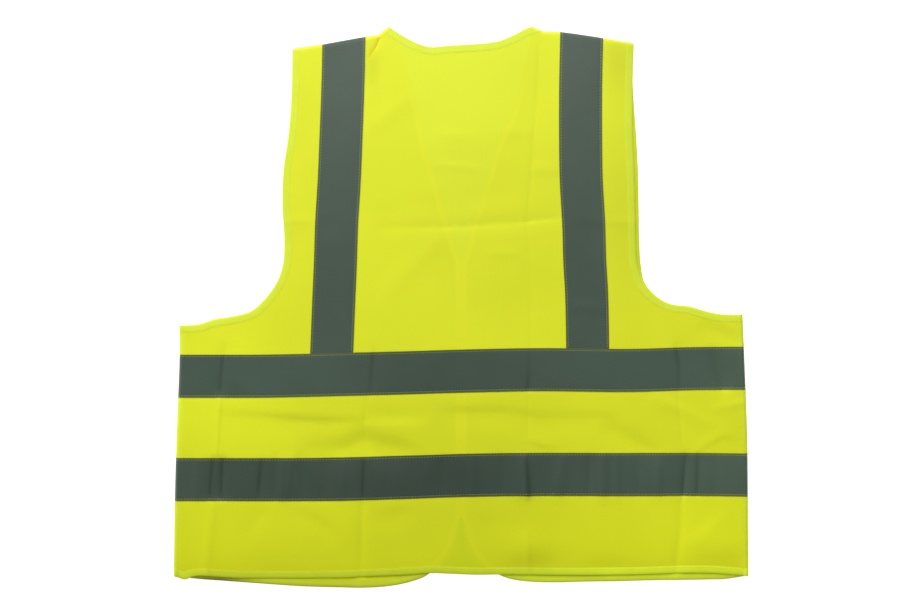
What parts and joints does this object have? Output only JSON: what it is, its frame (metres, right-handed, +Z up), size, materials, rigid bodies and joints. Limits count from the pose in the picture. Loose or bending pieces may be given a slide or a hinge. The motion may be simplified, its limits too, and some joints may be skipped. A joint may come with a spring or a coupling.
{
  "type": "safety vest",
  "caption": "Sleeveless open-front high-visibility safety vest laid flat, back up, with grey reflective bands round the body, braces over the shoulders and bound edges.",
  "frame": {"origin": "middle of the bounding box, on the surface that the vest lies on", "axes": "+X towards the wearer's right, +Y towards the neck, +Z up, away from the surface"},
  "size_m": [0.69, 0.6732, 0.0104],
  "materials": {
    "cloth": "fluorescent yellow warp-knit polyester",
    "binding": "fluorescent yellow woven binding tape",
    "tape": "grey retroreflective tape, satin",
    "hook": "hook tape",
    "loop": "loop tape"
  },
  "bodies": {
    "root": {"back_panel": "cloth", "front_panel_left": "cloth", "front_panel_right": "cloth", "neck_binding_back": "binding", "hem_binding_back": "binding", "front_binding_left": "binding", "front_binding_right": "binding", "armhole_binding_left": "binding", "armhole_binding_right": "binding", "back_band_upper": "tape", "front_band_upper_left": "tape", "front_band_upper_right": "tape", "back_band_lower": "tape", "front_band_lower_left": "tape", "front_band_lower_right": "tape", "brace_left": "tape", "brace_right": "tape", "hook_strip": "hook", "loop_strip": "loop"}
  },
  "joints": []
}
